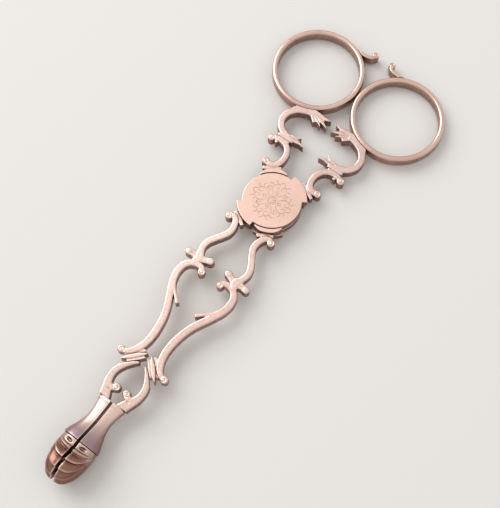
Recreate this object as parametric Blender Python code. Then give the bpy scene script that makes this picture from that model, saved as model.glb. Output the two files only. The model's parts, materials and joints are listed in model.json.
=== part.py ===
"""Sugar nips: two cast silver arms that cross in a box joint, with finger rings and shell grips.

The arms are one pattern. The back arm is the front arm turned over about the long axis, as on
the real thing. The long axis is Y, the rings are at +Y, and the pivot stands along Z at the origin.
"""

import math

import bmesh
import bpy
from mathutils import Matrix, Vector

MM = 0.001

# Castings and seams
cast_height = 2.5 * MM
soft_edge_share = 0.3
solder_gap = 0.02 * MM
ball_rise = 0.1 * MM
merge_distance = 0.0001 * MM

# Box joint: two half plates, each with two full-height bars that run round the other plate
joint_height = 3.7 * MM
plate_radius = 6.5 * MM
plate_gap = 0.3 * MM
rim_gap = 0.3 * MM
bar_wall = 0.8 * MM
upper_bar_start = math.radians(32)
upper_bar_end = math.radians(84)
lower_bar_start = math.radians(216)
lower_bar_end = math.radians(267)
plate_edge = 0.2 * MM

# Rivet
rivet_radius = 1.2 * MM
rivet_head_radius = 2.2 * MM
rivet_head_depth = 0.8 * MM
rivet_play = 0.08 * MM
rivet_blind_depth = 1.0 * MM

# Finger rings and their finials
ring_radius = 10.6 * MM
ring_wall = 1.25 * MM
ring_height = 2.8 * MM
ring_sink = 1.6 * MM
rest_gap = 0.3 * MM
finial_reach = 4.6 * MM
finial_rise = 1.9 * MM
finial_width = 1.0 * MM
finial_ball_radius = 0.72 * MM

# Neck scroll, from the joint's bar up
neck_rise = 6.35 * MM
neck_reach = 9.95 * MM
neck_width = 1.35 * MM
neck_ball_radius = 0.72 * MM

# Ring scroll, from the neck scroll up to the ring
ring_scroll_rise = 10.05 * MM
ring_scroll_reach = 10.95 * MM
ring_scroll_width = 1.65 * MM

# Knee scroll, from the joint's bar down
knee_drop = 11.25 * MM
knee_reach = 6.7 * MM
knee_width = 1.35 * MM
knee_ball_radius = 0.8 * MM

# Knot leaf
knot_height = 1.3 * MM
knot_reach = 8.45 * MM
knot_ball_radius = 0.62 * MM

# Long scroll
long_drop = 24.7 * MM
long_reach = 7.55 * MM
long_width = 1.65 * MM
long_ball_radius = 0.72 * MM

# Waist moulding, set aslant between the long scroll and the loop
waist_thickness = 1.5 * MM
waist_length = 5.0 * MM
waist_height = 2.9 * MM
waist_groove = 0.3 * MM
waist_angle = math.radians(-46)

# Loop scroll, down to the grip
loop_drop = 9.36 * MM
loop_reach = 4.55 * MM
loop_width = 1.5 * MM
loop_ball_radius = 0.85 * MM

# Grip stem and shell
grip_gap = 0.7 * MM
collar_width = 2.85 * MM
stem_length = 10.0 * MM
shell_length = 9.0 * MM
shell_depth = 3.7 * MM
shell_height = 8.4 * MM
shell_wall = 0.75 * MM
flute_depth = 0.32 * MM
hollow_flute_depth = 0.15 * MM
root_height = 6.2 * MM

# Counts
curve_steps = 2
ball_segments = 12
ball_rings = 6
ring_segments = 44
joint_segments = 56
flute_count = 9
flute_steps = 4
shell_rows = 8
hollow_rows = 5
d_points = 10

# Finishes
silver_colour = (0.86, 0.72, 0.66, 1.0)
rivet_colour = (0.80, 0.68, 0.62, 1.0)
shell_colour = (0.72, 0.56, 0.50, 1.0)
silver_roughness = 0.28
silver_metallic = 1.0

# Plan curves. Each point is a share of the piece's reach, rise and bar width.
neck_curve_shares = [
    (0.925, 0.815, 0.70), (0.834, 0.900, 0.75), (0.693, 0.905, 0.90), (0.533, 0.811, 1.00),
    (0.432, 0.614, 1.00), (0.397, 0.378, 1.00), (0.414, 0.157, 1.05), (0.482, -0.010, 1.05),
    (0.590, -0.085, 0.95), (0.700, -0.055, 0.80)]
neck_foot_shares = [(0.300, 0.040, 0.80), (0.455, -0.060, 1.35), (0.630, -0.260, 0.90)]
neck_seat_shares = [(0.500, 0.955, 0.70), (0.860, 0.955, 0.70)]
neck_upper_ball_share = (0.925, 0.803)
neck_lower_ball_share = (0.709, -0.050)
neck_bud_shares = [(0.800, 0.890, 0.50), (0.785, 0.760, 0.80), (0.755, 0.700, 0.30)]

# Finial curve: shares of its reach outward and of its rise, from the point where it leaves the ring
finial_root_angle = math.radians(116)
finial_curve_shares = [
    (0.35, -0.30, 1.30), (0.00, -0.06, 1.20), (-0.30, -0.08, 1.00), (-0.58, -0.02, 0.90),
    (-0.78, 0.22, 0.85), (-0.84, 0.62, 0.85)]
finial_ball_share = (-0.84, 0.66)

ring_scroll_curve_shares = [
    (0.180, 0.885, 1.05), (0.410, 0.910, 1.15), (0.657, 0.845, 1.05), (0.849, 0.690, 1.00),
    (0.925, 0.473, 0.95), (0.868, 0.264, 0.95), (0.712, 0.130, 0.90), (0.511, 0.100, 0.85),
    (0.310, 0.104, 0.60)]
ring_scroll_cheek_shares = [(0.400, 0.970, 0.60), (0.640, 0.930, 1.10), (0.880, 0.820, 0.90)]
ring_scroll_seat_shares = [(0.430, 0.030, 0.70), (0.790, 0.030, 0.70)]
ring_scroll_leaf_shares = [
    [(0.300, 0.905, 0.80), (0.170, 0.945, 0.55), (0.065, 0.965, 0.18)],
    [(0.300, 0.870, 0.80), (0.160, 0.810, 0.55), (0.055, 0.762, 0.18)],
    [(0.430, 0.865, 0.80), (0.330, 0.775, 0.55), (0.285, 0.712, 0.18)],
    [(0.420, 0.104, 0.75), (0.290, 0.095, 0.45), (0.205, 0.070, 0.18)],
    [(0.500, 0.124, 0.75), (0.400, 0.170, 0.45), (0.335, 0.210, 0.18)]]

knee_curve_shares = [
    (0.836, 0.000, 0.70), (0.687, -0.044, 0.80), (0.537, 0.018, 0.95), (0.445, 0.160, 1.05),
    (0.455, 0.293, 1.10), (0.575, 0.444, 1.15), (0.735, 0.596, 1.15), (0.850, 0.747, 1.10),
    (0.873, 0.889, 1.10), (0.840, 1.040, 1.30)]
knee_foot_shares = [(0.290, 0.030, 0.80), (0.520, -0.035, 1.30), (0.790, -0.140, 0.80)]
knee_seat_shares = [(0.620, 0.985, 0.60), (0.990, 0.985, 0.60)]
knee_ball_share = (0.836, -0.014)
knee_bud_shares = [(0.620, 0.020, 0.50), (0.650, 0.110, 0.75), (0.690, 0.140, 0.30)]

knot_curve_shares = [
    (0.250, 0.10, 0.75), (0.400, -0.42, 0.80), (0.600, -0.56, 0.84), (0.930, -0.58, 0.75)]
knot_pad_shares = [(0.50, 0), (0.82, 0), (0.84, 1), (0.52, 1)]
knot_inner_ball_share = (0.250, 0.14)
knot_outer_ball_share = (0.928, -0.58)

long_curve_shares = [
    (0.330, 0.072, 0.62), (0.390, 0.036, 0.66), (0.520, 0.030, 0.75), (0.690, 0.044, 0.88),
    (0.834, 0.088, 0.95), (0.893, 0.156, 1.00), (0.862, 0.237, 1.00), (0.748, 0.322, 1.00),
    (0.609, 0.407, 1.00), (0.477, 0.488, 1.00), (0.377, 0.573, 1.00), (0.318, 0.662, 1.02),
    (0.291, 0.751, 1.02), (0.310, 0.840, 1.00), (0.400, 0.925, 0.95), (0.560, 0.985, 0.80),
    (0.720, 1.004, 0.65)]
long_volute_ball_share = (0.318, 0.074)
long_end_ball_share = (0.742, 1.000)
long_seat_shares = [(0.580, 0.010, 0.75), (0.900, 0.010, 0.75)]
long_leaf_shares = [(0.740, 0.310, 0.75), (0.540, 0.372, 0.60), (0.278, 0.423, 0.40)]
waist_seat_share = (0.364, 0.9737)
waist_core_share = 0.86
broad_bar_share = 0.62
thin_bar_start_share = 0.46
thin_bar_end_share = 0.34

loop_curve_shares = [
    (0.143, -0.036, 0.35), (0.297, 0.028, 0.50), (0.505, 0.124, 0.75), (0.692, 0.241, 0.95),
    (0.824, 0.402, 1.00), (0.835, 0.551, 1.05), (0.747, 0.722, 1.20), (0.582, 0.880, 1.50),
    (0.440, 1.080, 1.85)]
loop_branch_shares = [(0.758, 0.637, 0.60), (0.560, 0.717, 0.70), (0.286, 0.695, 0.60)]
loop_ball_share = (0.275, 0.685)

# Grip stem stations: share of its length, width as a share of the collar, height as a share of the root
stem_station_shares = [
    (0.00, 1.00, 0.47), (0.07, 1.00, 0.47), (0.12, 0.93, 0.44), (0.28, 0.82, 0.43),
    (0.42, 0.79, 0.45), (0.58, 0.87, 0.54), (0.74, 1.05, 0.70), (0.88, 1.24, 0.88),
    (1.00, 1.36, 1.00)]
shell_fan_angle = math.radians(138)
shell_bulge = 2.6
shell_pole_share = 0.06
ear_share = 0.92


# Small helpers

def remove_everything():
    """Empty the scene that the script was opened in."""
    for item in list(bpy.data.objects):
        bpy.data.objects.remove(item, do_unlink=True)


def add_object(name, mesh):
    """Turn a bmesh into a named object with its faces looking out."""
    bmesh.ops.remove_doubles(mesh, verts=mesh.verts, dist=merge_distance)
    bmesh.ops.recalc_face_normals(mesh, faces=mesh.faces)
    data = bpy.data.meshes.new(name)
    mesh.to_mesh(data)
    mesh.free()
    item = bpy.data.objects.new(name, data)
    bpy.context.collection.objects.link(item)
    return item


def combine(target, tools, operation):
    """Run exact Booleans on the target and remove the tools."""
    for tool in tools:
        step = target.modifiers.new(operation.lower(), "BOOLEAN")
        step.operation = operation
        step.solver = "EXACT"
        step.object = tool
        bpy.context.view_layer.update()
        graph = bpy.context.evaluated_depsgraph_get()
        result = bpy.data.meshes.new_from_object(target.evaluated_get(graph))
        target.modifiers.remove(step)
        target.data = result
        bpy.data.objects.remove(tool, do_unlink=True)
    return target


def fuse(name, parts):
    """Join overlapping bodies into one named body."""
    body = combine(parts[0], parts[1:], "UNION")
    body.name = name
    body.data.name = name
    return body


def smooth_run(points, steps):
    """Run a smooth curve through the points, with the given steps in each span."""
    rows = [Vector(point) for point in points]
    rows = [rows[0] * 2 - rows[1]] + rows + [rows[-1] * 2 - rows[-2]]
    run = []
    for index in range(1, len(rows) - 2):
        before, start, end, after = rows[index - 1:index + 3]
        for step in range(steps):
            t = step / steps
            run.append(0.5 * (2 * start + (end - before) * t
                              + (2 * before - 5 * start + 4 * end - after) * t ** 2
                              + (3 * start - before - 3 * end + after) * t ** 3))
    run.append(rows[-2])
    return run


def placed(shares, side, reach, base, rise, width):
    """Turn a row of shares into plan points (x, y, width)."""
    return [(side * reach * x, base + rise * y, width * w) for x, y, w in shares]


def spot(share, side, reach, base, rise, width):
    """Turn one share pair into a plan place."""
    return side * reach * share[0], base + rise * share[1]


def soft_section(width, height):
    """Corner points of a bar's section, with its four edges softened."""
    half = width / 2
    top = height / 2
    soft = min(half, top) * soft_edge_share
    return [(half, top - soft), (half - soft, top), (soft - half, top), (-half, top - soft),
            (-half, soft - top), (soft - half, -top), (half - soft, -top), (half, soft - top)]


def skin(loops, closed):
    """Bridge equal loops of points into a mesh, capped at its ends or closed on itself."""
    mesh = bmesh.new()
    rows = [[mesh.verts.new(point) for point in loop] for loop in loops]
    count = len(rows[0])
    pairs = list(zip(rows, rows[1:] + rows[:1])) if closed else list(zip(rows, rows[1:]))
    for first, second in pairs:
        for index in range(count):
            after = (index + 1) % count
            mesh.faces.new((first[index], first[after], second[after], second[index]))
    if not closed:
        mesh.faces.new(rows[0])
        mesh.faces.new(rows[-1])
    return mesh


def sweep(points, height, steps=curve_steps):
    """Sweep a soft-edged bar of changing width along a plan curve."""
    run = smooth_run(points, steps)
    loops = []
    for index, point in enumerate(run):
        ahead = run[min(index + 1, len(run) - 1)]
        behind = run[max(index - 1, 0)]
        along = (ahead - behind).xy.normalized()
        across = Vector((-along.y, along.x))
        loops.append([(point.x + across.x * u, point.y + across.y * u, v)
                      for u, v in soft_section(point.z, height)])
    return add_object("bar", skin(loops, closed=False))


def ball(centre, radius, height):
    """Make a scroll's round end, a flattened ball a little prouder than its bar."""
    mesh = bmesh.new()
    bmesh.ops.create_uvsphere(mesh, u_segments=ball_segments, v_segments=ball_rings, radius=1.0)
    shape = Matrix.Diagonal((radius, radius, height / 2 + ball_rise, 1))
    place = Matrix.Translation((centre[0], centre[1], 0))
    bmesh.ops.transform(mesh, matrix=place @ shape, verts=mesh.verts)
    return add_object("ball", mesh)


def prism(outline, low, high):
    """Raise a plan outline between two heights."""
    loops = [[(x, y, z) for x, y in outline] for z in (low, high)]
    return add_object("prism", skin(loops, closed=False))


def disc(radius, low, high, centre=(0, 0), segments=joint_segments):
    """Make a plain round block."""
    turn = math.tau / segments
    outline = [(centre[0] + radius * math.cos(turn * k), centre[1] + radius * math.sin(turn * k))
               for k in range(segments)]
    return prism(outline, low, high)


def half_plane(point, angle):
    """Make a cutting block with one face through a plan point, lying left of the given heading."""
    along = Vector((math.cos(angle), math.sin(angle)))
    left = Vector((-along.y, along.x))
    start = Vector(point) - along * overrun
    end = Vector(point) + along * overrun
    outline = [start, end, end + left * overrun, start + left * overrun]
    return prism([tuple(place) for place in outline], -overrun, overrun)


def silver(item, colour):
    """Give an object its own silver."""
    material = bpy.data.materials.new(item.name)
    material.use_nodes = True
    shader = material.node_tree.nodes["Principled BSDF"]
    shader.inputs["Base Color"].default_value = colour
    shader.inputs["Roughness"].default_value = silver_roughness
    shader.inputs["Metallic"].default_value = silver_metallic
    item.data.materials.clear()
    item.data.materials.append(material)


# Levels along the arm, worked out from the pieces' own sizes
bar_inner_radius = plate_radius + rim_gap
bar_outer_radius = bar_inner_radius + bar_wall
neck_level = bar_outer_radius + neck_rise
ring_scroll_level = neck_level + ring_scroll_rise
ring_centre_x = ring_radius + rest_gap / 2
ring_centre_y = ring_scroll_level - ring_sink + ring_radius
knot_level = -bar_outer_radius - knee_drop
long_level = knot_level - knot_height
waist_point = Vector((long_reach * waist_seat_share[0], long_level - long_drop * waist_seat_share[1]))
waist_across = Vector((math.sin(waist_angle), -math.cos(waist_angle)))
loop_level = (waist_point + waist_across * waist_thickness).y
grip_level = loop_level - loop_drop
shell_level = grip_level - stem_length
overrun = ring_radius * 4
half_joint = joint_height / 2


# Box joint

def bar_sector(start, end):
    """Make one full-height bar with the web that ties it to its own plate."""
    web_radius = plate_radius / 2
    section = [(web_radius, plate_gap / 2), (bar_inner_radius, plate_gap / 2),
               (bar_inner_radius, -half_joint), (bar_outer_radius - plate_edge, -half_joint),
               (bar_outer_radius, plate_edge - half_joint), (bar_outer_radius, half_joint - plate_edge),
               (bar_outer_radius - plate_edge, half_joint), (web_radius, half_joint)]
    count = max(2, round(joint_segments * (end - start) / math.tau))
    loops = []
    for k in range(count + 1):
        angle = start + (end - start) * k / count
        loops.append([(r * math.cos(angle), r * math.sin(angle), z) for r, z in section])
    return add_object("bar_sector", skin(loops, closed=False))


def joint_plate(name):
    """Make the front arm's half plate and its two bars."""
    turn = math.tau / joint_segments
    section = [(plate_radius, plate_gap / 2), (plate_radius, half_joint - plate_edge),
               (plate_radius - plate_edge, half_joint)]
    loops = [[(r * math.cos(turn * k), r * math.sin(turn * k), z) for k in range(joint_segments)]
             for r, z in section]
    plate = add_object(name, skin(loops, closed=False))
    return fuse(name, [plate, bar_sector(upper_bar_start, upper_bar_end),
                       bar_sector(lower_bar_start, lower_bar_end)])


def rivet_shape(play, run, high):
    """Turn a shank with a countersunk head, with play round it and a straight run below the head."""
    head = rivet_head_radius + play
    shank = rivet_radius + play
    section = [(head, -half_joint), (shank, rivet_head_depth - half_joint), (shank, high)]
    if run:
        section.insert(0, (head, -half_joint - run))
    turn = math.tau / (joint_segments / 2)
    loops = [[(r * math.cos(turn * k), r * math.sin(turn * k), z) for k in range(joint_segments // 2)]
             for r, z in section]
    return add_object("rivet", skin(loops, closed=False))


# Scrolls above the joint

def ring_room(side):
    """Make the round block that the ring fills, for seating what is soldered to it."""
    centre = (side * ring_centre_x, ring_centre_y)
    return disc(ring_radius + solder_gap, -overrun, overrun, centre, ring_segments)


def neck_scroll(name, side):
    """Make the C-scroll that stands on the joint's bar."""
    frame = (side, neck_reach, bar_outer_radius, neck_rise, neck_width)
    parts = [sweep(placed(neck_curve_shares, *frame), cast_height),
             sweep(placed(neck_foot_shares, *frame), cast_height),
             sweep(placed(neck_seat_shares, *frame), cast_height, 1),
             sweep(placed(neck_bud_shares, *frame), cast_height - ball_rise * 2),
             ball(spot(neck_upper_ball_share, *frame), neck_ball_radius, cast_height),
             ball(spot(neck_lower_ball_share, *frame), neck_ball_radius, cast_height)]
    body = fuse(name, parts)
    seat = half_plane((0, neck_level - solder_gap / 2), 0)
    return combine(body, [seat, disc(bar_outer_radius + solder_gap, -overrun, overrun)], "DIFFERENCE")


def ring_scroll(name, side):
    """Make the leafy C-scroll that carries the ring."""
    frame = (side, ring_scroll_reach, neck_level, ring_scroll_rise, ring_scroll_width)
    parts = [sweep(placed(ring_scroll_curve_shares, *frame), cast_height),
             sweep(placed(ring_scroll_cheek_shares, *frame), cast_height - ball_rise),
             sweep(placed(ring_scroll_seat_shares, *frame), cast_height, 1)]
    parts += [sweep(placed(leaf, *frame), cast_height - ball_rise * 2) for leaf in ring_scroll_leaf_shares]
    body = fuse(name, parts)
    seat = half_plane((0, neck_level + solder_gap / 2), math.pi)
    return combine(body, [seat, ring_room(side)], "DIFFERENCE")


def finger_ring(name, side):
    """Make the finger ring, a flat band with soft edges."""
    turn = math.tau / ring_segments
    middle = ring_radius - ring_wall / 2
    loops = []
    for k in range(ring_segments):
        out_x = math.cos(turn * k)
        out_y = math.sin(turn * k)
        loops.append([(side * ring_centre_x + out_x * (middle + u), ring_centre_y + out_y * (middle + u), v)
                      for u, v in soft_section(ring_wall, ring_height)])
    return add_object(name, skin(loops, closed=True))


def ring_finial(name, side):
    """Make the curled tail with a ball that leaves the top of the ring."""
    root_x = ring_centre_x + ring_radius * math.cos(finial_root_angle)
    root_y = ring_centre_y + ring_radius * math.sin(finial_root_angle)
    curve = [(side * (root_x + finial_reach * x), root_y + finial_rise * y, finial_width * w)
             for x, y, w in finial_curve_shares]
    end_x, end_y = finial_ball_share
    end = (side * (root_x + finial_reach * end_x), root_y + finial_rise * end_y)
    body = fuse(name, [sweep(curve, cast_height), ball(end, finial_ball_radius, cast_height)])
    return combine(body, [ring_room(side)], "DIFFERENCE")


# Scrolls below the joint

def knee_scroll(name, side):
    """Make the S-scroll that hangs from the joint's bar."""
    frame = (side, knee_reach, -bar_outer_radius, -knee_drop, knee_width)
    parts = [sweep(placed(knee_curve_shares, *frame), cast_height),
             sweep(placed(knee_foot_shares, *frame), cast_height),
             sweep(placed(knee_seat_shares, *frame), cast_height, 1),
             sweep(placed(knee_bud_shares, *frame), cast_height - ball_rise * 2),
             ball(spot(knee_ball_share, *frame), knee_ball_radius, cast_height)]
    body = fuse(name, parts)
    seat = half_plane((0, knot_level + solder_gap / 2), math.pi)
    return combine(body, [seat, disc(bar_outer_radius + solder_gap, -overrun, overrun)], "DIFFERENCE")


def knot_leaf(name, side):
    """Make the short cross leaf between the knee scroll and the long scroll."""
    frame = (side, knot_reach, knot_level, knot_height, knot_height)
    parts = [sweep(placed(knot_curve_shares, *frame), cast_height - ball_rise),
             ball(spot(knot_inner_ball_share, *frame), knot_ball_radius, cast_height),
             ball(spot(knot_outer_ball_share, *frame), knot_ball_radius, cast_height)]
    pad = [(side * knot_reach * x, knot_level - solder_gap / 2 - (knot_height - solder_gap) * y)
           for x, y in knot_pad_shares]
    return fuse(name, [prism(pad, -cast_height / 2, cast_height / 2)] + parts)


def long_scroll(name, side):
    """Make the long S-scroll with its curled top, its split leaf and its round end."""
    frame = (side, long_reach, long_level, -long_drop, long_width)
    parts = [sweep(placed(long_curve_shares, *frame), cast_height),
             sweep(placed(long_seat_shares, *frame), cast_height, 1),
             sweep(placed(long_leaf_shares, *frame), cast_height - ball_rise * 2),
             ball(spot(long_volute_ball_share, *frame), long_ball_radius, cast_height),
             ball(spot(long_end_ball_share, *frame), long_ball_radius, cast_height)]
    body = fuse(name, parts)
    seat = half_plane((0, long_level - solder_gap / 2), 0)
    return combine(body, [seat, waist_slab(side, -solder_gap / 2, overrun, overrun, overrun)], "DIFFERENCE")


def waist_slab(side, near, far, length, height):
    """Make a block along the waist's slant, between two distances down from its upper seam."""
    along = Vector((math.cos(waist_angle), math.sin(waist_angle)))
    places = [waist_point + along * u * length / 2 + waist_across * v
              for u, v in ((-1, near), (1, near), (1, far), (-1, far))]
    return prism([(side * place.x, place.y) for place in places], -height / 2, height / 2)


def waist_bar(side, centre, width, start, end):
    """Make one raised bar of the waist moulding."""
    along = Vector((math.cos(waist_angle), math.sin(waist_angle)))
    places = [waist_point + waist_across * centre + along * u for u in (start, end)]
    return sweep([(side * place.x, place.y, width) for place in places], waist_height, 1)


def waist_moulding(name, side):
    """Make the slanted moulding: a broad bar, a groove and a thin bar."""
    broad = (waist_thickness - waist_groove) * broad_bar_share
    thin = waist_thickness - waist_groove - broad - solder_gap
    core = waist_slab(side, solder_gap / 2, waist_thickness - solder_gap / 2,
                      waist_length * waist_core_share, cast_height)
    upper = waist_bar(side, solder_gap / 2 + broad / 2, broad, -waist_length / 2, waist_length / 2)
    lower = waist_bar(side, waist_thickness - solder_gap / 2 - thin / 2, thin,
                      -waist_length * thin_bar_start_share, waist_length * thin_bar_end_share)
    return fuse(name, [core, upper, lower])


def loop_scroll(name, side):
    """Make the open loop with its leaf tip and round end, down to the grip's collar."""
    frame = (side, loop_reach, loop_level, -loop_drop, loop_width)
    parts = [sweep(placed(loop_curve_shares, *frame), cast_height),
             sweep(placed(loop_branch_shares, *frame), cast_height - ball_rise),
             ball(spot(loop_ball_share, *frame), loop_ball_radius, cast_height)]
    body = fuse(name, parts)
    above = waist_slab(side, -overrun, waist_thickness + solder_gap / 2, overrun, overrun)
    below = half_plane((0, grip_level + solder_gap / 2), math.pi)
    inside = half_plane((side * grip_gap / 2, 0), side * math.pi / 2)
    return combine(body, [above, below, inside], "DIFFERENCE")


# Grip and shell

def d_section(width, height):
    """Points of a half-round section: flat on the inside, full on the outside."""
    points = []
    for k in range(d_points + 1):
        angle = math.pi * (k / d_points - 0.5)
        out = abs(math.cos(angle)) ** (2 / shell_bulge)
        up = abs(math.sin(angle)) ** (2 / shell_bulge)
        points.append((width * out, math.copysign(height / 2 * up, angle)))
    return points


def grip_stem(name, side):
    """Make the half-round grip from its collar to the shell's root."""
    loops = []
    for along, wide, high in stem_station_shares:
        y = grip_level - solder_gap / 2 - (stem_length - solder_gap) * along
        loops.append([(side * (grip_gap / 2 + x), y, z)
                      for x, z in d_section(collar_width * wide, root_height * high)])
    return add_object(name, skin(loops, closed=False))


def shell_rim(inset):
    """Rim of the shell as rows of (share round the fan or None, y, z)."""
    middle = shell_level - shell_length / 2
    steps = flute_count * flute_steps
    rim = []
    for k in range(steps + 1):
        angle = shell_fan_angle * (2 * k / steps - 1)
        y = middle - (shell_length / 2 - inset) * math.cos(angle)
        z = (shell_height / 2 - inset) * math.sin(angle)
        rim.append((k / steps, y, z))
    root_y = shell_level - solder_gap / 2 - inset
    corner = rim[-1][2] * ear_share
    for across in (1, 0.5, 0, -0.5, -1):
        rim.append((None, root_y, corner * across))
    return rim


def shell_surface(rows, depth, inset, flute):
    """Return the shell's pole and the rows of points from it out to the rim."""
    pole = Vector((grip_gap / 2 + depth, shell_level - shell_length * shell_pole_share - inset, 0))
    heart = Vector((grip_gap / 2, shell_level - shell_length / 2, 0))
    loops = []
    for row in range(1, rows + 1):
        angle = math.pi / 2 * row / rows
        out = math.sin(angle) ** (2 / shell_bulge)
        rise = math.cos(angle) ** (2 / shell_bulge) if row < rows else 0
        loop = []
        for share, y, z in shell_rim(inset):
            place = Vector((grip_gap / 2 + depth * rise, pole.y + (y - pole.y) * out, z * out))
            if share is not None:
                valley = 1 - abs(math.sin(math.pi * flute_count * share))
                place -= (place - heart).normalized() * flute * valley * row / rows
            place.x = max(place.x, grip_gap / 2)
            loop.append(tuple(place))
        loops.append(loop)
    return tuple(pole), loops


def fan_out(mesh, side, pole, loops):
    """Skin one surface of the shell from its pole to its rim, and return the rim's vertices."""
    centre = mesh.verts.new((side * pole[0], pole[1], pole[2]))
    previous = None
    for loop in loops:
        current = [mesh.verts.new((side * x, y, z)) for x, y, z in loop]
        for index in range(len(current)):
            after = (index + 1) % len(current)
            if previous is None:
                mesh.faces.new((centre, current[index], current[after]))
            else:
                mesh.faces.new((previous[index], current[index], current[after], previous[after]))
        previous = current
    return previous


def grip_shell(name, side):
    """Make the fluted shell: a scalloped cup whose hollow faces the other arm's."""
    mesh = bmesh.new()
    outer = fan_out(mesh, side, *shell_surface(shell_rows, shell_depth, 0, flute_depth))
    inner = fan_out(mesh, side, *shell_surface(hollow_rows, shell_depth - shell_wall, shell_wall,
                                               hollow_flute_depth))
    for index in range(len(outer)):
        after = (index + 1) % len(outer)
        mesh.faces.new((outer[index], inner[index], inner[after], outer[after]))
    return add_object(name, mesh)


# Assembly

def build_arm(arm):
    """Make one arm's pieces in its own frame, with the pivot at the origin."""
    upper = ((neck_scroll, "neck_scroll"), (ring_scroll, "ring_scroll"), (finger_ring, "finger_ring"),
             (ring_finial, "ring_finial"))
    lower = ((knee_scroll, "knee_scroll"), (knot_leaf, "knot_leaf"), (long_scroll, "long_scroll"),
             (waist_moulding, "waist_moulding"), (loop_scroll, "loop_scroll"), (grip_stem, "grip_stem"))
    pieces = [joint_plate(arm + "_joint_plate")]
    pieces += [make(f"{arm}_{name}", 1) for make, name in upper]
    pieces += [make(f"{arm}_{name}", -1) for make, name in lower]
    for piece in pieces:
        silver(piece, silver_colour)
    shell = grip_shell(arm + "_shell", -1)
    silver(shell, shell_colour)
    return pieces + [shell]


def arm_frame(name, turned):
    """Place an arm's frame on the pivot; the back arm's is turned over about the long axis."""
    frame = bpy.data.objects.new(name, None)
    frame.location = (0, 0, half_joint)
    frame.rotation_euler = (0, math.pi if turned else 0, 0)
    frame.empty_display_size = plate_radius
    bpy.context.collection.objects.link(frame)
    return frame


remove_everything()
front_pieces = build_arm("front_arm")
back_pieces = build_arm("back_arm")

# The rivet is soldered into a blind hole in the front plate and turns in the back plate
shank_end = plate_gap / 2 + rivet_blind_depth
rivet = rivet_shape(0, 0, shank_end - solder_gap)
rivet.name = "pivot_rivet"
silver(rivet, rivet_colour)
blind_hole = disc(rivet_radius + solder_gap, 0, shank_end, segments=joint_segments // 2)
combine(front_pieces[0], [blind_hole], "DIFFERENCE")
running_hole = rivet_shape(rivet_play, overrun, half_joint)
running_hole.data.transform(Matrix.Rotation(math.pi, 4, "Y"))
combine(back_pieces[0], [running_hole], "DIFFERENCE")

front_frame = arm_frame("front_arm_frame", False)
back_frame = arm_frame("back_arm_frame", True)
for piece in front_pieces + [rivet]:
    piece.parent = front_frame
for piece in back_pieces:
    piece.parent = back_frame
bpy.context.view_layer.update()
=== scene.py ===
"""Sugar nips, dressed: two cast silver arms in scrollwork that cross in a flat box joint."""

import json
import math

import bpy
from mathutils import Matrix, Vector

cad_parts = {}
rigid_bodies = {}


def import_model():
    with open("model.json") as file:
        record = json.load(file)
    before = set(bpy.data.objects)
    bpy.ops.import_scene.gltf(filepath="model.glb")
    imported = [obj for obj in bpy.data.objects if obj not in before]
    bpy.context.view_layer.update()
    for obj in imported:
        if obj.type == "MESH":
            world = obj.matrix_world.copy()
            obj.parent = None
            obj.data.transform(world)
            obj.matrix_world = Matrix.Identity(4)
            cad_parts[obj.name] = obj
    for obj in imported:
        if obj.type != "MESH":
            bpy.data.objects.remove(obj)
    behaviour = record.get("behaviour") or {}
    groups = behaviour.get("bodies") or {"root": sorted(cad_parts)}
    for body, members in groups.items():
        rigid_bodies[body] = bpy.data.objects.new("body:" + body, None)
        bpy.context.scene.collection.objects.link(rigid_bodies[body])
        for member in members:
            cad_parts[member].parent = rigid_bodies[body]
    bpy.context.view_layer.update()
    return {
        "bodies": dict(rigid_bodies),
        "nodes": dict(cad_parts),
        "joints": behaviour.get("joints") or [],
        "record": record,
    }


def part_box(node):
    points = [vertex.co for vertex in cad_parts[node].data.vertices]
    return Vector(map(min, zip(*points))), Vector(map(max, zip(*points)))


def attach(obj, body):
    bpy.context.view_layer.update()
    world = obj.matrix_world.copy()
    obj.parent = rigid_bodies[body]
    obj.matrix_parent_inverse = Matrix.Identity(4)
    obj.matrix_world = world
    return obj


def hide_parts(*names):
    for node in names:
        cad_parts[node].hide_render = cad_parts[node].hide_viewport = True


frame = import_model()

MM = 0.001

# Table: a plain pale top. The nips lie on it by their shells and the far edge of their rings, so
# it leans a little to the joint's own level.
shell_low, shell_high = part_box("front_arm_shell")
ring_low, ring_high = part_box("front_arm_finger_ring")
shell_middle = (shell_low.y + shell_high.y) / 2
table_lean = math.atan2(ring_low.z - shell_low.z, ring_high.y - shell_middle)
table_size = 3.0
table_clearance = 0.03 * MM
table_colour = (0.78, 0.765, 0.74, 1.0)

bpy.ops.object.select_all(action="DESELECT")
bpy.ops.mesh.primitive_plane_add(size=table_size, rotation=(table_lean, 0, 0),
                                 location=(0, shell_middle, shell_low.z - table_clearance))
table = bpy.context.object
table.name = "table"
bpy.ops.object.transform_apply(location=True, rotation=True, scale=True)
table_finish = bpy.data.materials.new("matte_table")
table_finish.use_nodes = True
table_shader = table_finish.node_tree.nodes["Principled BSDF"]
table_shader.inputs["Base Color"].default_value = table_colour
table_shader.inputs["Roughness"].default_value = 0.85
table_shader.inputs["Specular IOR Level"].default_value = 0.2
table.data.materials.append(table_finish)


# Light: one broad soft lamp over the left of the picture, and an even pale surround.
def soft_lamp(name, place, aim, size, power):
    """Add a square lamp that looks at a point."""
    bpy.ops.object.light_add(type="AREA", location=place)
    lamp = bpy.context.object
    lamp.name = name
    lamp.data.size = size
    lamp.data.energy = power
    lamp.rotation_euler = (Vector(aim) - Vector(place)).to_track_quat("-Z", "Y").to_euler()
    return lamp


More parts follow.
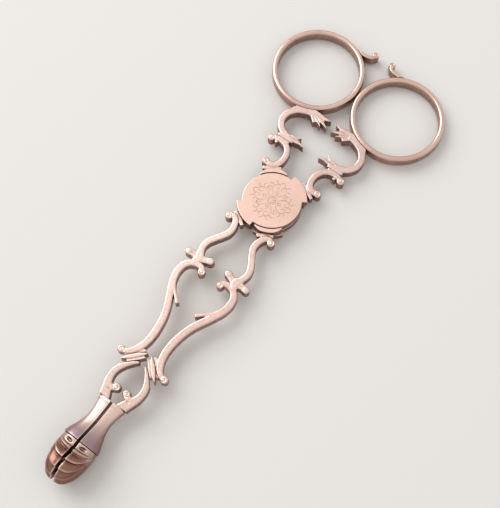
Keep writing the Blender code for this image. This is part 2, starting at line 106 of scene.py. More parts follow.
soft_lamp("key_lamp", place=(-0.72, 0.10, 0.68), aim=(0, -0.015, 0), size=0.8, power=5.4)
surround = bpy.data.worlds.new("surround")
bpy.context.scene.world = surround
surround.use_nodes = True
sky = surround.node_tree.nodes
surround_light = sky["Background"]
surround_light.inputs["Strength"].default_value = 1.0
look = sky.new("ShaderNodeTexCoord")
height = sky.new("ShaderNodeSeparateXYZ")
shade = sky.new("ShaderNodeValToRGB")
shade.color_ramp.elements[0].position = 0.0
shade.color_ramp.elements[0].color = (0.48, 0.46, 0.44, 1.0)
shade.color_ramp.elements[1].position = 0.55
shade.color_ramp.elements[1].color = (0.78, 0.765, 0.75, 1.0)
surround.node_tree.links.new(look.outputs["Generated"], height.inputs[0])
surround.node_tree.links.new(height.outputs[2], shade.inputs[0])
surround.node_tree.links.new(shade.outputs[0], surround_light.inputs["Color"])

# Camera: high over the shells' right, looking down on the flat joint at the photograph's angle.
bpy.ops.object.camera_add(location=(48.968 * MM, -73.316 * MM, 201.045 * MM),
                          rotation=(math.radians(20.965), math.radians(0.197), math.radians(36.379)))
camera = bpy.context.object
camera.data.sensor_width = 36.0
camera.data.lens = 70.87
camera.data.clip_start = 0.01
camera.data.clip_end = 20.0
bpy.context.scene.camera = camera
bpy.context.scene.view_settings.view_transform = "Standard"


# Joint plates: the two halves of the box joint, each a turned silver disc with two full-height bars
# at its rim that run round the other disc. The front disc's face is engraved by hand.
joint_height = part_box("front_arm_joint_plate")[1].z
mid_plane = joint_height / 2
plate_radius = 6.5 * MM
plate_gap = 0.3 * MM
bar_inner_radius = 6.68 * MM
bar_outer_radius = 7.6 * MM
upper_bar = (math.radians(32), math.radians(84))
lower_bar = (math.radians(216), math.radians(267))
bar_taper = math.radians(17)
bar_tip_share = 0.3
wall_step = 0.004 * MM
end_step = math.radians(0.03)
plate_edge = 0.12 * MM
arc_steps = 72
rule_pitch = 0.8 * MM
rule_start = 0.37
rule_count = 9
weld_distance = 0.0005 * MM
rivet_radius = 1.2 * MM
rivet_head_radius = 2.2 * MM
rivet_head_depth = 0.8 * MM
rivet_play = 0.08 * MM
rivet_sides = 96


def pick(*items):
    """Select only these objects, the first one active."""
    bpy.ops.object.select_all(action="DESELECT")
    for item in items:
        item.select_set(True)
    bpy.context.view_layer.objects.active = items[0]


def edit_all():
    """Go into edit mode with everything selected."""
    bpy.ops.object.mode_set(mode="EDIT")
    bpy.ops.mesh.select_all(action="SELECT")


def leave_edit():
    """Weld doubled corners, point all faces outward and leave edit mode."""
    bpy.ops.mesh.select_all(action="SELECT")
    bpy.ops.mesh.remove_doubles(threshold=weld_distance)
    bpy.ops.mesh.normals_make_consistent(inside=False)
    bpy.ops.object.mode_set(mode="OBJECT")


def modify(item, kind, **settings):
    """Add a modifier, set it and apply it."""
    step = item.modifiers.new(kind.lower(), kind)
    for key, value in settings.items():
        setattr(step, key, value)
    pick(item)
    bpy.ops.object.modifier_apply(modifier=step.name)


def unite(body, others):
    """Join other solids to a body."""
    for other in others:
        modify(body, "BOOLEAN", operation="UNION", solver="MANIFOLD", object=other)
        bpy.data.objects.remove(other)
    return body


def cut(body, tools):
    """Cut solids out of a body, and drop the empty material slot that this leaves."""
    for tool in tools:
        modify(body, "BOOLEAN", operation="DIFFERENCE", solver="MANIFOLD", object=tool)
        bpy.data.objects.remove(tool)
    while len(body.data.materials) > 1:
        body.data.materials.pop()
    return body


def cylinder(radius, low, high, centre=(0, 0), sides=128):
    """Add an upright round block between two heights."""
    bpy.ops.object.select_all(action="DESELECT")
    bpy.ops.mesh.primitive_cylinder_add(vertices=sides, radius=radius, depth=high - low,
                                        location=(centre[0], centre[1], (low + high) / 2))
    bpy.ops.object.transform_apply(location=True, rotation=True, scale=True)
    return bpy.context.object


def slab(outline, low, high):
    """Flat plate between two heights, round an outline of radius and turn, with its sharpness taken off."""
    bpy.ops.object.select_all(action="DESELECT")
    bpy.ops.mesh.primitive_circle_add(vertices=len(outline), fill_type="NGON")
    plate = bpy.context.object
    for corner, (radius, turn) in zip(plate.data.vertices, outline):
        corner.co = (radius * math.cos(turn), radius * math.sin(turn), high)
    modify(plate, "SOLIDIFY", thickness=high - low, offset=-1)
    modify(plate, "BEVEL", width=plate_edge, segments=2, limit_method="ANGLE", angle_limit=math.radians(40),
           use_clamp_overlap=False)
    return plate


def curved_bar(span, steps=40):
    """Full-height bar of the joint, tapered to its ends, a hair inside the disc's walls so that they join."""
    start, end = span
    width = bar_outer_radius - wall_step - bar_inner_radius
    turns = [start + end_step + (end - start - 2 * end_step) * k / steps for k in range(steps + 1)]
    swells = [bar_tip_share + (1 - bar_tip_share) * math.sin(math.pi / 2 * min(1.0, from_end / bar_taper))
              for from_end in [min(turn - start, end - turn) for turn in turns]]
    outer = [(bar_inner_radius + width * swell, turn) for turn, swell in zip(turns, swells)]
    inner = [(bar_inner_radius, turn) for turn in turns]
    return slab(outer + inner[::-1], 0, joint_height - wall_step)


def turned_over(item, name):
    """Copy a front-arm piece, turned half round the long axis at the joint's middle."""
    copy = item.copy()
    copy.data = item.data.copy()
    copy.name = name
    bpy.context.collection.objects.link(copy)
    middle = Matrix.Translation((0, 0, mid_plane))
    copy.data.transform(middle @ Matrix.Rotation(math.pi, 4, "Y") @ middle.inverted())
    return copy


def seat(item, body, nodes):
    """Put a finished piece on its body, in place of its plain solids."""
    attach(item, body)
    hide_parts(*nodes)


def seat_pair(item, part, finish):
    """Name and finish a front-arm piece, turn a copy over for the back arm, and seat both."""
    item.name = "front_" + part
    item.data.materials.clear()
    item.data.materials.append(finish)
    back = turned_over(item, "back_" + part)
    seat(item, "front_arm", ["front_arm_" + part])
    seat(back, "back_arm", ["back_arm_" + part])
    return item, back


def put(tree, kind, settings=None, **sockets):
    """Add a node, set its options, and set or link its inputs."""
    node = tree.nodes.new(kind)
    for key, value in (settings or {}).items():
        setattr(node, key, value)
    for key, value in sockets.items():
        socket = node.inputs[key.replace("_", " ")]
        if isinstance(value, bpy.types.NodeSocket):
            tree.links.new(value, socket)
        else:
            socket.default_value = value
    return node


def reckon(tree, operation, first, second, clamp=False):
    """Combine two numbers with a Math node."""
    node = tree.nodes.new("ShaderNodeMath")
    node.operation = operation
    node.use_clamp = clamp
    for socket, value in zip(node.inputs, (first, second)):
        if isinstance(value, bpy.types.NodeSocket):
            tree.links.new(value, socket)
        else:
            socket.default_value = value
    return node.outputs[0]


def blend_colours(tree, share, first, second):
    """Mix two colours by a share."""
    node = tree.nodes.new("ShaderNodeMix")
    node.data_type = "RGBA"
    for socket, value in zip((node.inputs[0], node.inputs[6], node.inputs[7]), (share, first, second)):
        if isinstance(value, bpy.types.NodeSocket):
            tree.links.new(value, socket)
        else:
            socket.default_value = value
    return node.outputs[2]


def scratches(tree, coordinates, turn, across, low, high):
    """Hairline scratches that all run one way."""
    lay = put(tree, "ShaderNodeMapping", Vector=coordinates, Rotation=(0.15, 0.1, math.radians(turn)),
              Scale=(260.0, across, 260.0))
    grain = put(tree, "ShaderNodeTexNoise", Vector=lay.outputs[0], Scale=1.0, Detail=2.0, Roughness=0.6)
    line = put(tree, "ShaderNodeMapRange", Value=grain.outputs[0], From_Min=low, From_Max=high)
    return line.outputs[0]


def old_silver(name, bright, warm, shade_and_tarnish=(0.19, 0.10, 0.08, 1), roughness=0.28, edge=(0.95, 0.82, 0.73, 1),
               rim_reach=0.24, rim_span=(0.92, 0.45), wall_shade_share=0.9, wall_shade_span=(0.75, 0.1),
               corner_shade_reach=0.55, corner_shade_span=(0.92, 0.35), tone_along_length=None):
    """Old sterling: bright on its faces, pale on its edges from wear and a painted highlight, with painted
    shade on upright walls and tarnish with painted shade in corners.
    """
    material = bpy.data.materials.new(name)
    material.use_nodes = True
    tree = material.node_tree
    shader = tree.nodes["Principled BSDF"]
    shader.inputs["Metallic"].default_value = 1.0
    place = tree.nodes.new("ShaderNodeTexCoord")
    spot = place.outputs["Object"]

    # Broad patches of warmer metal, and a finer mottle of old polish
    patches = put(tree, "ShaderNodeTexNoise", Vector=spot, Scale=110.0, Detail=2.0, Roughness=0.5)
    patch = put(tree, "ShaderNodeMapRange", Value=patches.outputs[0], From_Min=0.40, From_Max=0.62)
    mottle = put(tree, "ShaderNodeTexNoise", Vector=spot, Scale=1300.0, Detail=4.0, Roughness=0.6)
    face = blend_colours(tree, patch.outputs[0], bright, warm)
    # Optional colour blended in along the piece's length: on the stems a painted reflection, on the shells a
    # painted highlight at the root that runs into darker metal towards the tip
    if tone_along_length:
        start, end, colour = tone_along_length
        along = put(tree, "ShaderNodeSeparateXYZ", Vector=spot)
        tone = put(tree, "ShaderNodeMapRange", {"interpolation_type": "SMOOTHSTEP"}, Value=along.outputs[1],
                   From_Min=start, From_Max=end)
        face = blend_colours(tree, tone.outputs[0], face, colour)

    # Sharp edges are painted palest: partly rubbed wear, partly a painted highlight where lips and ridges
    # catch the light
    rim = put(tree, "ShaderNodeAmbientOcclusion", {"samples": 8, "inside": True, "only_local": True},
              Distance=rim_reach * MM)
    wear_and_highlight = put(tree, "ShaderNodeMapRange", Value=rim.outputs["AO"], From_Min=rim_span[0],
               From_Max=rim_span[1], To_Max=0.85)
    face = blend_colours(tree, wear_and_highlight.outputs[0], face, edge)

    # Painted shade: upright walls are darkened as if they mirrored dark surroundings, and corners, seams and
    # cuts are darkened by occlusion, partly tarnish and partly painted shade
    direction = put(tree, "ShaderNodeSeparateXYZ", Vector=place.outputs["Normal"])
    flat = reckon(tree, "ABSOLUTE", direction.outputs[2], 0.0)
    wall_reflection_shade = put(tree, "ShaderNodeMapRange", Value=flat, From_Min=wall_shade_span[0], From_Max=wall_shade_span[1],
               To_Max=wall_shade_share)
    open_air = put(tree, "ShaderNodeAmbientOcclusion", {"samples": 8}, Distance=corner_shade_reach * MM)
    corner = put(tree, "ShaderNodeMapRange", Value=open_air.outputs["AO"], From_Min=corner_shade_span[0],
                 From_Max=corner_shade_span[1], To_Max=0.9)
    shade_and_tarnish_mask = reckon(tree, "MAXIMUM", wall_reflection_shade.outputs[0], corner.outputs[0])
    # The mottle makes the painted shade and tarnish patchy
    shade_mask_mottle = put(tree, "ShaderNodeMapRange", Value=mottle.outputs[0], From_Min=0.3, From_Max=0.7, To_Min=0.8,
                To_Max=1.15)
    shade_and_tarnish_mask = reckon(tree, "MULTIPLY", shade_and_tarnish_mask, shade_mask_mottle.outputs[0], clamp=True)
    tree.links.new(blend_colours(tree, shade_and_tarnish_mask, face, shade_and_tarnish), shader.inputs["Base Color"])

    # Satin wear: mottled gloss, and two sets of hairlines in the gloss and in the surface
    first = scratches(tree, spot, 24.0, 9000.0, 0.60, 0.72)
    second = scratches(tree, spot, -41.0, 7000.0, 0.62, 0.74)
    hairlines = reckon(tree, "MAXIMUM", first, second)
    gloss = put(tree, "ShaderNodeMapRange", Value=mottle.outputs[0], From_Min=0.3, From_Max=0.7,
                To_Min=roughness - 0.06, To_Max=roughness + 0.08)
    rough = reckon(tree, "MULTIPLY_ADD", hairlines, 0.12)
    tree.links.new(gloss.outputs[0], rough.node.inputs[2])
    dull = reckon(tree, "MULTIPLY_ADD", shade_and_tarnish_mask, 0.12)
    tree.links.new(rough, dull.node.inputs[2])
    tree.links.new(dull, shader.inputs["Roughness"])
    relief = reckon(tree, "SUBTRACT", mottle.outputs[0], hairlines)
    bump = put(tree, "ShaderNodeBump", Height=relief, Strength=0.10, Distance=0.02 * MM)
    tree.links.new(bump.outputs[0], shader.inputs["Normal"])
    return material


plate_finish = old_silver("plate_silver", bright=(0.82, 0.57, 0.47, 1), warm=(0.87, 0.59, 0.51, 1),
                          shade_and_tarnish=(0.20, 0.105, 0.085, 1), roughness=0.33, corner_shade_span=(0.93, 0.40))

arcs = [(*upper_bar, bar_outer_radius), (upper_bar[1], lower_bar[0], plate_radius),
        (*lower_bar, bar_outer_radius), (lower_bar[1], upper_bar[0] + math.tau, plate_radius)]
outline = [(radius, start + (end - start) * k / arc_steps)
           for start, end, radius in arcs for k in range(arc_steps + 1)]
plate = slab(outline, mid_plane + plate_gap / 2, joint_height)
unite(plate, [curved_bar(upper_bar), curved_bar(lower_bar)])

# Rule the flats into small squares, so that the engraving is cut into simple faces
edit_all()
for side in ((1, 0, 0), (0, 1, 0)):
    for k in range(-rule_count, rule_count + 1):
        bpy.ops.mesh.select_all(action="SELECT")
        bpy.ops.mesh.bisect(plane_co=tuple((k + rule_start) * rule_pitch * part for part in side),
                            plane_no=side)
bpy.ops.object.mode_set(mode="OBJECT")
front_plate, back_plate = seat_pair(plate, "joint_plate", plate_finish)

# The back disc turns on the rivet, so it has the countersunk hole
bpy.ops.object.select_all(action="DESELECT")
bpy.ops.mesh.primitive_cone_add(vertices=rivet_sides, radius1=rivet_head_radius + rivet_play,
                                radius2=rivet_radius + rivet_play, depth=rivet_head_depth,
                                location=(0, 0, rivet_head_depth / 2))
countersink = bpy.context.object
bpy.ops.object.transform_apply(location=True, rotation=True, scale=True)
mouth = cylinder(rivet_head_radius + rivet_play, -joint_height, 0.01 * MM, sides=rivet_sides)
bore = cylinder(rivet_radius + rivet_play, rivet_head_depth / 2, joint_height, sides=rivet_sides)
cut(back_plate, [countersink, mouth, bore])

# Engraving: a generic ornament of four heart-shaped scrolls with leaves round a small flower, cut
# with swelling strokes
engraving_width = 0.22 * MM
tool_rise = 0.02 * MM
engraving_level = joint_height + tool_rise
engraving_grain = 0.05 * MM
heart_stroke = [(1.0, 0.1), (1.55, 0.85), (2.45, 1.5), (3.45, 1.45), (3.95, 0.85), (3.55, 0.32), (2.95, 0.5),
                (3.05, 1.0)]
leaf_strokes = [
    [(2.05, 1.25), (2.55, 1.95), (2.5, 2.6)],
    [(2.5, 2.6), (2.05, 2.1), (1.75, 1.55)],
    [(3.2, 1.52), (3.45, 2.05), (3.25, 2.65)],
    [(3.8, 1.2), (4.3, 1.45), (4.45, 1.95)],
    [(3.9, 0.62), (4.45, 0.45), (4.95, 0.0)],
    [(1.35, 0.0), (1.9, 0.28), (2.45, 0.0)]]
petal_stroke = [(0.25, 0.0), (0.6, 0.24), (0.95, 0.0), (0.6, -0.24), (0.25, 0.0)]


def stroke(points, width, level, turn=0.0, mirror=1):
    """Cut-tool for one engraved stroke: a thin tapering tube laid along plan points in millimetres."""
    bpy.ops.object.select_all(action="DESELECT")
    bpy.ops.curve.primitive_bezier_curve_add()
    line = bpy.context.object
    line.data.splines.clear()
    spline = line.data.splines.new("BEZIER")
    spline.bezier_points.add(len(points) - 1)
    for index, (stop, (x, y)) in enumerate(zip(spline.bezier_points, points)):
        u, v = x * MM, y * MM * mirror
        stop.co = (u * math.cos(turn) - v * math.sin(turn), u * math.sin(turn) + v * math.cos(turn),
                   level)
        stop.handle_left_type = stop.handle_right_type = "AUTO"
        stop.radius = 0.45 + 0.55 * math.sin(math.pi * (index + 0.4) / (len(points) - 0.2))
    line.data.dimensions = "3D"
    line.data.resolution_u = 8
    line.data.bevel_depth = width / 2
    line.data.bevel_resolution = 1
    line.data.use_fill_caps = True
    bpy.ops.object.convert(target="MESH")
    edit_all()
    leave_edit()
    return bpy.context.object


tools = []
for quarter in range(4):
    for mirror in (1, -1):
        tools += [stroke(points, engraving_width, engraving_level, math.pi / 2 * quarter, mirror)
                  for points in [heart_stroke] + leaf_strokes]
tools += [stroke(petal_stroke, engraving_width, engraving_level, math.tau * k / 8) for k in range(8)]
pick(*tools)
bpy.ops.object.join()
cutter = bpy.context.object
cutter.data.remesh_voxel_size = engraving_grain
bpy.ops.object.voxel_remesh()
cut(front_plate, [cutter])


def crisp(item):
    """Shade round walls smoothly and leave the flats flat."""
    pick(item)
    bpy.ops.object.shade_smooth_by_angle(angle=math.radians(20))
    modify(item, "WEIGHTED_NORMAL", keep_sharp=True)


crisp(front_plate)
crisp(back_plate)

# Rivet: a plain silver pin, soldered into the front disc and spread into a countersink at the back,
# where its head is filed flush.
rivet_blind_depth = 0.9 * MM
rivet_edge = 0.06 * MM
rivet_end = mid_plane + plate_gap / 2 + rivet_blind_depth
rivet = cylinder(rivet_radius, 0, rivet_end, sides=rivet_sides)
bpy.ops.object.select_all(action="DESELECT")
bpy.ops.mesh.primitive_cone_add(vertices=rivet_sides, radius1=rivet_head_radius, radius2=rivet_radius,
                                depth=rivet_head_depth, location=(0, 0, rivet_head_depth / 2))
head = bpy.context.object
bpy.ops.object.transform_apply(location=True, rotation=True, scale=True)
unite(rivet, [head])
rivet.name = "rivet"
modify(rivet, "BEVEL", width=rivet_edge, segments=2, limit_method="ANGLE", angle_limit=math.radians(50))
rivet_finish = old_silver("rivet_silver", bright=(0.86, 0.70, 0.63, 1), warm=(0.84, 0.62, 0.54, 1),
                          shade_and_tarnish=(0.34, 0.20, 0.16, 1), roughness=0.30)
rivet.data.materials.clear()
rivet.data.materials.append(rivet_finish)
crisp(rivet)
seat(rivet, "front_arm", ["pivot_rivet"])


# Neck scrolls: cast C-scrolls, each soldered upright on a joint bar. They end in round beads, with a
# small bud behind the upper one.
cast_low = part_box("front_arm_ring_scroll")[0].z
cast_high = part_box("front_arm_ring_scroll")[1].z
bead_rise = 0.03 * MM
soft_edge = 0.3 * MM
seam_room = 0.015 * MM
waste_size = 60 * MM
neck_rise = 6.35 * MM
neck_reach = 9.95 * MM
neck_width = 1.35 * MM
neck_bead_radius = 0.86 * MM
neck_bud_radius = 0.36 * MM
foot_edge = 0.1 * MM
neck_bud_edge = 0.14 * MM
neck_level = bar_outer_radius + neck_rise
neck_frame = (1, neck_reach, bar_outer_radius, neck_rise, neck_width)
neck_curve_shares = [
    (0.925, 0.815, 0.95), (0.834, 0.885, 0.98), (0.693, 0.895, 1.02), (0.533, 0.811, 1.05),
    (0.432, 0.614, 1.05), (0.397, 0.378, 1.05), (0.414, 0.157, 1.10), (0.482, -0.010, 1.15),
    (0.590, -0.075, 1.12), (0.690, -0.060, 1.05)]
neck_foot_shares = [
    (0.296, 0.010, 0.58), (0.370, -0.080, 0.62), (0.463, -0.165, 0.64), (0.560, -0.247, 0.62),
    (0.655, -0.322, 0.58)]
foot_step = 0.16 * MM
neck_seat_shares = [(0.520, 0.960, 0.60), (0.840, 0.960, 0.60)]
neck_bead_shares = [(0.929, 0.800), (0.695, -0.055)]
neck_bud_shares = [(0.805, 0.870, 0.40), (0.788, 0.800, 0.44), (0.777, 0.752, 0.42)]
volute_width = 0.3 * MM
volute_start = math.radians(150)
volute_step = math.radians(50)
volute_stops = 9
volute_rim_share = 0.78
volute_closing = 0.068
small_grain = 0.075 * MM
# The upper pieces take a slightly darker, pinker copy of the same silver: painted shade
upper_finish = old_silver("upper_silver", bright=(0.87, 0.65, 0.585, 1), warm=(0.81, 0.575, 0.52, 1))


def placed(shares, frame):
    """Turn rows of shares in a scroll's frame into plan points (x, y, width)."""
    side, reach, base, rise, width = frame
    return [(side * reach * x, base + rise * y, width * w) for x, y, w in shares]


def bar(points, low=cast_low, high=cast_high, soft=soft_edge, steps=7):
    """Sweep a flat strip of changing width along plan points, raise it and soften its edges."""
    bpy.ops.object.select_all(action="DESELECT")
    bpy.ops.curve.primitive_bezier_curve_add()
    strip = bpy.context.object
    strip.data.splines.clear()
    spline = strip.data.splines.new("BEZIER")
    spline.bezier_points.add(len(points) - 1)
    for stop, (x, y, width) in zip(spline.bezier_points, points):
        stop.co = (x, y, 0)
        stop.handle_left_type = stop.handle_right_type = "AUTO"
        stop.radius = width / MM
    strip.data.dimensions = "2D"
    strip.data.fill_mode = "NONE"
    strip.data.resolution_u = steps
    rule = bpy.data.curves.new("rule", "CURVE")
    edge = rule.splines.new("POLY")
    edge.points.add(1)
    edge.points[0].co = (-MM / 2, 0, 0, 1)
    edge.points[1].co = (MM / 2, 0, 0, 1)
    guide = bpy.data.objects.new("rule", rule)
    strip.data.bevel_mode = "OBJECT"
    strip.data.bevel_object = guide
    bpy.ops.object.convert(target="MESH")
    bpy.data.objects.remove(guide)
    edit_all()
    bpy.ops.transform.translate(value=(0, 0, low))
    bpy.ops.mesh.extrude_region_move(TRANSFORM_OT_translate={"value": (0, 0, high - low)})
    leave_edit()
    modify(strip, "BEVEL", width=soft, segments=3, limit_method="ANGLE", angle_limit=math.radians(50),
           use_clamp_overlap=False)
    return strip


def bead(place, radius, low=cast_low - bead_rise, high=cast_high + bead_rise):
    """Add a scroll's round end: a domed button, a little prouder than its bar."""
    button = cylinder(radius, low, high, place, sides=40)
    modify(button, "BEVEL", width=0.4 * radius, segments=5, limit_method="ANGLE",
           angle_limit=math.radians(50))
    return button


def beads(shares, frame, radius):
    """Add beads at share places of a scroll's frame."""
    side, reach, base, rise, _ = frame
    return [bead((side * reach * x, base + rise * y), radius) for x, y in shares]


def volute(way_in, radius):
    """Cut-tools for the spiral chased into a bead's two faces, from three plan points that run into it."""
    (ax, ay), (bx, by), (cx, cy) = [point[:2] for point in way_in]
    sense = math.copysign(1, (bx - ax) * (cy - by) - (by - ay) * (cx - bx))
    start = math.atan2(cy - by, cx - bx) + sense * volute_start
    line = []
    for k in range(volute_stops):
        turn = start + sense * volute_step * k
        out = radius * (volute_rim_share - volute_closing * k)
        line.append(((cx + out * math.cos(turn)) / MM, (cy + out * math.sin(turn)) / MM))
    top = cast_high + bead_rise + tool_rise
    return [stroke(line, volute_width, level) for level in (top, cast_low + cast_high - top)]


def waste(point, normal):
    """Block that stands in front of an upright plane at a plan point, to cut a piece off flat."""
    bpy.ops.object.select_all(action="DESELECT")
    bpy.ops.mesh.primitive_cube_add(size=waste_size, rotation=(0, 0, math.atan2(normal[1], normal[0])),
                                    location=(point[0] + normal[0] * waste_size / 2,
                                              point[1] + normal[1] * waste_size / 2, 0))
    bpy.ops.object.transform_apply(location=True, rotation=True, scale=True)
    return bpy.context.object


def seat_room(radius, centre=(0, 0), sides=128):
    """Round block through the whole height, to cut the curved seat of a piece that meets a disc or ring."""
    return cylinder(radius + seam_room, -joint_height, 2 * joint_height, centre, sides)


def cast(parts, flats=(), rounds=(), veins=(), grain=small_grain, smoothing=4):
    """Melt overlapping parts into one casting, file its seats, chase it, and take off the sharpness."""
    pick(*parts)
    bpy.ops.object.join()
    item = bpy.context.object
    for step in range(2):
        item.data.remesh_voxel_size = grain
        bpy.ops.object.voxel_remesh()
        if step == 0:
            blocks = [waste(point, normal) for point, normal in flats]
            cut(item, list(rounds) + list(veins) + blocks)
            pick(item)
    modify(item, "SMOOTH", factor=0.5, iterations=smoothing)
    bpy.ops.object.shade_smooth()
    return item


neck_parts = [bar(placed(shares, neck_frame)) for shares in (neck_curve_shares, neck_seat_shares)]
neck_parts.append(bar(placed(neck_foot_shares, neck_frame), cast_low + foot_step, cast_high - foot_step,
                      foot_edge))
neck_parts.append(bar(placed(neck_bud_shares, neck_frame), soft=neck_bud_edge))
neck_parts += beads(neck_bead_shares, neck_frame, neck_bead_radius)
neck_parts += beads([neck_bud_shares[-1][:2]], neck_frame, neck_bud_radius)
neck_path = placed(neck_curve_shares, neck_frame)
neck = cast(neck_parts, flats=[((0, neck_level - seam_room), (0, 1))], rounds=[seat_room(bar_outer_radius)],
            veins=volute(neck_path[2::-1], neck_bead_radius) + volute(neck_path[-3:], neck_bead_radius))
seat_pair(neck, "neck_scroll", upper_finish)

# Ring scrolls: leafy C-scrolls that carry the finger rings. Each end opens into pointed acanthus tips,
# chased after casting.
ring_scroll_rise = 10.05 * MM
ring_scroll_reach = 10.95 * MM
ring_scroll_width = 1.65 * MM
ring_radius = 10.6 * MM
ring_wall = 1.25 * MM
ring_edge = 0.5 * MM
ring_centre = (ring_low + ring_high) / 2
ring_sides = 160
ring_scroll_frame = (1, ring_scroll_reach, neck_level, ring_scroll_rise, ring_scroll_width)
ring_scroll_curve_shares = [
    (0.180, 0.885, 1.05), (0.410, 0.910, 1.15), (0.657, 0.845, 1.05), (0.849, 0.690, 1.00),
    (0.925, 0.473, 0.95), (0.868, 0.264, 0.95), (0.712, 0.130, 0.90), (0.511, 0.100, 0.85),
    (0.310, 0.104, 0.60)]
ring_scroll_cheek_shares = [
    (0.400, 0.960, 0.60), (0.640, 0.920, 1.05), (0.800, 0.815, 0.90), (0.890, 0.690, 0.50)]
ring_scroll_seat_shares = [(0.430, 0.030, 0.70), (0.790, 0.030, 0.70)]
ring_scroll_leaf_shares = [
    [(0.410, 0.905, 1.00), (0.270, 0.925, 0.62), (0.165, 0.938, 0.38), (0.066, 0.962, 0.08)],
    [(0.420, 0.880, 0.90), (0.270, 0.850, 0.56), (0.160, 0.806, 0.36), (0.056, 0.748, 0.08)],
    [(0.400, 0.860, 0.80), (0.300, 0.800, 0.46), (0.240, 0.755, 0.28), (0.190, 0.708, 0.08)],
    [(0.450, 0.860, 0.80), (0.385, 0.790, 0.66), (0.335, 0.730, 0.60)],
    [(0.520, 0.104, 0.85), (0.390, 0.104, 0.55), (0.290, 0.090, 0.34), (0.190, 0.062, 0.08)],
    [(0.540, 0.124, 0.80), (0.450, 0.148, 0.46), (0.390, 0.178, 0.28), (0.328, 0.226, 0.08)]]
leaf_vein_shares = [
    [(0.430, 0.895), (0.300, 0.890), (0.180, 0.872), (0.070, 0.862)],
    [(0.430, 0.868), (0.320, 0.830), (0.230, 0.775), (0.170, 0.720)],
    [(0.430, 0.835), (0.360, 0.790), (0.300, 0.740), (0.275, 0.690)],
    [(0.560, 0.114), (0.450, 0.120), (0.360, 0.130), (0.270, 0.150)]]
vein_width = 0.34 * MM
vein_level = cast_high + tool_rise
vein_levels = (vein_level, cast_low + cast_high - vein_level)
leaf_edge = 0.12 * MM
leaf_grain = 0.07 * MM


def chased(shares, frame, levels=vein_levels):
    """Cut-tools for a line chased into a scroll's faces, through share places of its frame."""
    side, reach, base, rise, _ = frame
    line = [(side * reach * x / MM, (base + rise * y) / MM) for x, y in shares]
    return [stroke(line, vein_width, level) for level in levels]


ring_scroll_parts = [bar(placed(shares, ring_scroll_frame)) for shares in (
    ring_scroll_curve_shares, ring_scroll_cheek_shares, ring_scroll_seat_shares)]
ring_scroll_parts += [bar(placed(shares, ring_scroll_frame), soft=leaf_edge)
                      for shares in ring_scroll_leaf_shares]
ring_scroll = cast(ring_scroll_parts, flats=[((0, neck_level + seam_room), (0, -1))],
                   veins=[tool for shares in leaf_vein_shares for tool in chased(shares, ring_scroll_frame)],
                   rounds=[seat_room(ring_radius, ring_centre, ring_sides)], grain=leaf_grain)
seat_pair(ring_scroll, "ring_scroll", upper_finish)

# Finger rings: plain bands, drawn and bent round, with well-rubbed edges.
bpy.ops.object.select_all(action="DESELECT")
bpy.ops.mesh.primitive_circle_add(vertices=ring_sides, radius=ring_radius,
                                  location=(ring_centre.x, ring_centre.y, ring_low.z))
ring = bpy.context.object
bpy.ops.object.transform_apply(location=True, rotation=True, scale=True)
edit_all()
bpy.ops.mesh.extrude_edges_move()
bpy.ops.transform.resize(value=((ring_radius - ring_wall) / ring_radius,) * 2 + (1,),
                         center_override=(ring_centre.x, ring_centre.y, ring_low.z))
bpy.ops.mesh.select_all(action="SELECT")
bpy.ops.mesh.extrude_region_move(TRANSFORM_OT_translate={"value": (0, 0, ring_high.z - ring_low.z)})
leave_edit()
modify(ring, "BEVEL", width=ring_edge, segments=6, limit_method="ANGLE", angle_limit=math.radians(50))
bpy.ops.object.shade_smooth()
# Ring silver: its walls get less painted shade than the cast pieces', painted as walls in light
ring_finish = old_silver("ring_silver", bright=(0.82, 0.59, 0.51, 1), warm=(0.74, 0.50, 0.43, 1),
                         shade_and_tarnish=(0.20, 0.10, 0.075, 1), roughness=0.22, edge=(0.90, 0.70, 0.60, 1),
                         wall_shade_share=0.7, wall_shade_span=(0.65, 0.05))
seat_pair(ring, "finger_ring", ring_finish)

# Ring finials: small curled tails with a bead, soldered to the top of the rings.
finial_reach = 4.6 * MM
finial_rise = 1.9 * MM
finial_width = 1.0 * MM
finial_bead_radius = 0.78 * MM
finial_root_angle = math.radians(116)
finial_root_way = Vector((math.cos(finial_root_angle), math.sin(finial_root_angle), 0))
finial_root = ring_centre + finial_root_way * ring_radius
finial_curve_shares = [
    (0.62, 0.02, 0.50), (0.30, -0.22, 0.90), (0.00, -0.16, 1.05), (-0.30, -0.08, 0.98), (-0.58, -0.02, 0.92),
    (-0.77, 0.20, 0.92), (-0.83, 0.58, 0.95)]
finial_bead_share = (-0.84, 0.66)
finial_points = [(finial_root.x + finial_reach * x, finial_root.y + finial_rise * y, finial_width * w)
                 for x, y, w in finial_curve_shares]
finial_end = (finial_root.x + finial_reach * finial_bead_share[0],
              finial_root.y + finial_rise * finial_bead_share[1])
finial = cast([bar(finial_points), bead(finial_end, finial_bead_radius)],
              rounds=[seat_room(ring_radius, ring_centre, ring_sides)],
              veins=volute(finial_points[-3:-1] + [finial_end], finial_bead_radius))
seat_pair(finial, "ring_finial", ring_finish)

